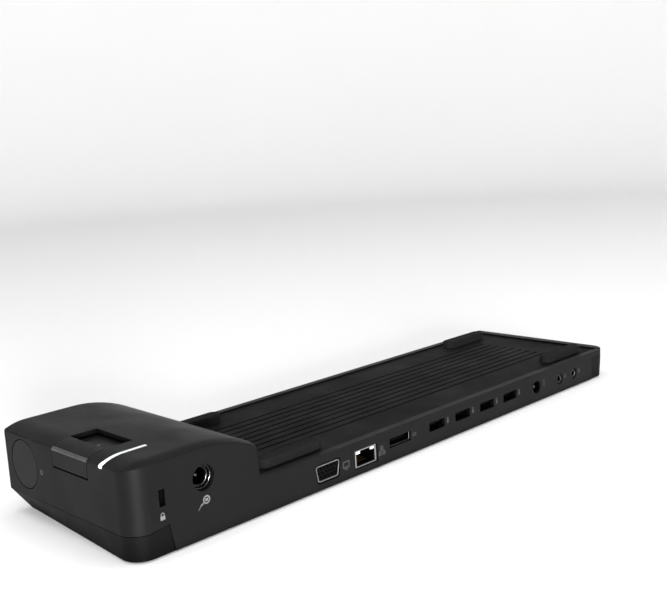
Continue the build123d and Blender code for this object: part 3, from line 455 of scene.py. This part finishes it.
def printed(name, marks, material, body):
    """One mesh of printed marks. Each is (outlines, place in metres, right, up) on the plastic's surface."""
    mesh = bmesh.new()
    for outlines, place, right, up in marks:
        right, up = Vector(right), Vector(up)
        out = right.cross(up).normalized()
        for outline in outlines:
            flat = [Vector(place) + (right * p[0] + up * p[1]) * MM for p in outline]
            back = [mesh.verts.new(p - out * PRINT_PROUD) for p in flat]
            front = [mesh.verts.new(p + out * PRINT_PROUD) for p in flat]
            mesh.faces.new(front)
            mesh.faces.new(list(reversed(back)))
            for i in range(len(flat)):
                j = (i + 1) % len(flat)
                mesh.faces.new([front[j], front[i], back[i], back[j]])
    bmesh.ops.recalc_face_normals(mesh, faces=mesh.faces)
    data = bpy.data.meshes.new(name)
    mesh.to_mesh(data)
    mesh.free()
    data.materials.append(material)
    piece = bpy.data.objects.new(name, data)
    bpy.context.scene.collection.objects.link(piece)
    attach(piece, body)


def on_rear(x, z):
    """Place and axes of a mark on the rear face, read from behind."""
    return (x, REAR, z), (-1, 0, 0), (0, 0, 1)


def middle(node):
    low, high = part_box(node)
    return (low + high) / 2


def mount_place(name):
    found = [m for m in frame["record"]["mounts"] if m["name"] == name]
    return Vector(found[0]["pos_m"])


def make_marks():
    bright = ink("ink_bright", 0.12)
    faint = ink("ink_faint", 0.045)
    lock, inlet = mount_place("lock_slot"), mount_place("power_inlet")
    video, network = mount_place("video_socket"), mount_place("network_socket")
    display = mount_place("display_socket")
    printed("lock_and_power_marks", [
        (padlock(), *on_rear(lock.x + 0.45 * MM, lock.z - 7.4 * MM)),
        (scaled(power_plug(), 1.25), *on_rear(inlet.x + 0.5 * MM, inlet.z - 10.5 * MM)),
    ], bright, "base")
    side = 1.0 * MM
    marks = [
        (scaled(screen(), 1.3), *on_rear(video.x - 12.0 * MM, video.z - 0.5 * MM)),
        (scaled(linked_boxes(), 1.35), *on_rear(network.x - 11.0 * MM, network.z)),
        (small_screen(), *on_rear(display.x - 11.0 * MM, display.z - 0.3 * MM)),
    ]
    for i in range(4):
        usb = mount_place(f"usb_socket_{i + 1}")
        marks.append((data_plug(), *on_rear(usb.x - 8.9 * MM, usb.z)))
    jack = mount_place("round_jack")
    marks.append((upright_line(), *on_rear(jack.x - 7.6 * MM, jack.z + side)))
    for sign, name in ((headphones(), "headphone_jack"), (microphone(), "microphone_jack")):
        audio = mount_place(name)
        marks.append((sign, *on_rear(audio.x - 6.0 * MM, audio.z + 0.5 * MM)))
    printed("socket_marks", marks, faint, "base")
    button = middle("power_button")
    sign_place = (END, REAR - 68.0 * MM, button.z - 0.2 * MM)
    power_marks = [(scaled(power_sign(), 0.85), sign_place, (0, 1, 0), (0, 0, 1))]
    printed("power_mark", power_marks, bright, "base")
    lever_low, lever_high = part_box("dock_lever")
    floor_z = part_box("connector_carriage")[1].z + 1.7 * MM
    pull_place = (lever_high.x - 15.5 * MM, (lever_low.y + lever_high.y) / 2, floor_z)
    printed("pull_mark", [(pull_sign(), pull_place, (1, 0, 0), (0, 1, 0))], bright, "dock_slide")


# ------------------------------------------------------------------ studio
def make_studio():
    floor_radius, wall_rise, fillet_radius, steps = 2.2, 0.9, 0.7, 12
    profile = [(0.0, 0.0), (floor_radius - fillet_radius, 0.0)]
    for i in range(1, steps + 1):
        angle = math.pi / 2 * i / steps
        profile.append((
            floor_radius - fillet_radius + fillet_radius * math.sin(angle),
            fillet_radius * (1 - math.cos(angle)),
        ))
    profile.append((floor_radius, fillet_radius + wall_rise))
    around = 96
    mesh = bmesh.new()
    centre = mesh.verts.new((0, 0, 0))
    rows = []
    for radius, height in profile[1:]:
        turn = [2 * math.pi * k / around for k in range(around)]
        rows.append([mesh.verts.new((radius * math.cos(a), radius * math.sin(a), height)) for a in turn])
    for k in range(around):
        mesh.faces.new([centre, rows[0][k], rows[0][(k + 1) % around]])
        for a, b in zip(rows, rows[1:]):
            mesh.faces.new([a[k], b[k], b[(k + 1) % around], a[(k + 1) % around]])
    for face in mesh.faces:
        face.smooth = True
    data = bpy.data.meshes.new("studio_floor")
    mesh.to_mesh(data)
    mesh.free()
    paper = Shader("studio_paper", (0.86, 0.86, 0.86), 0.75, **{"Specular IOR Level": 0.2})
    paper.set(paper.surface, **{
        "Base Color": paper.mix(paper.noise(0.4, 2.0), (0.85, 0.85, 0.85), (0.87, 0.87, 0.87)),
    })
    data.materials.append(paper.material)
    floor = bpy.data.objects.new("studio_floor", data)
    bpy.context.scene.collection.objects.link(floor)

    world = bpy.data.worlds.new("studio_sky")
    world.use_nodes = True
    world.node_tree.nodes["Background"].inputs["Color"].default_value = (1, 1, 1, 1)
    world.node_tree.nodes["Background"].inputs["Strength"].default_value = 0.34
    bpy.context.scene.world = world
    aimed_at = Vector((0.05, 0.0, 0.02))
    # (name, place, width, height, power): a large soft box overhead, and a low one behind the camera
    for name, place, width, height, power in (
        ("top_box", (0.1, 0.2, 1.5), 1.6, 1.2, 17.0),
        ("corner_strip", (0.8, 1.2, 0.17), 0.34, 0.3, 52.0),
    ):
        lamp = bpy.data.lights.new(name, "AREA")
        lamp.shape = "RECTANGLE"
        lamp.size, lamp.size_y = width, height
        lamp.energy = power
        holder = bpy.data.objects.new(name, lamp)
        aim = aimed_at - Vector(place)
        holder.matrix_world = Matrix.Translation(place) @ aim.to_track_quat("-Z", "Y").to_matrix().to_4x4()
        bpy.context.scene.collection.objects.link(holder)
    bpy.context.scene.view_settings.view_transform = "Standard"


make_camera()
dress_nodes()
make_marks()
make_studio()
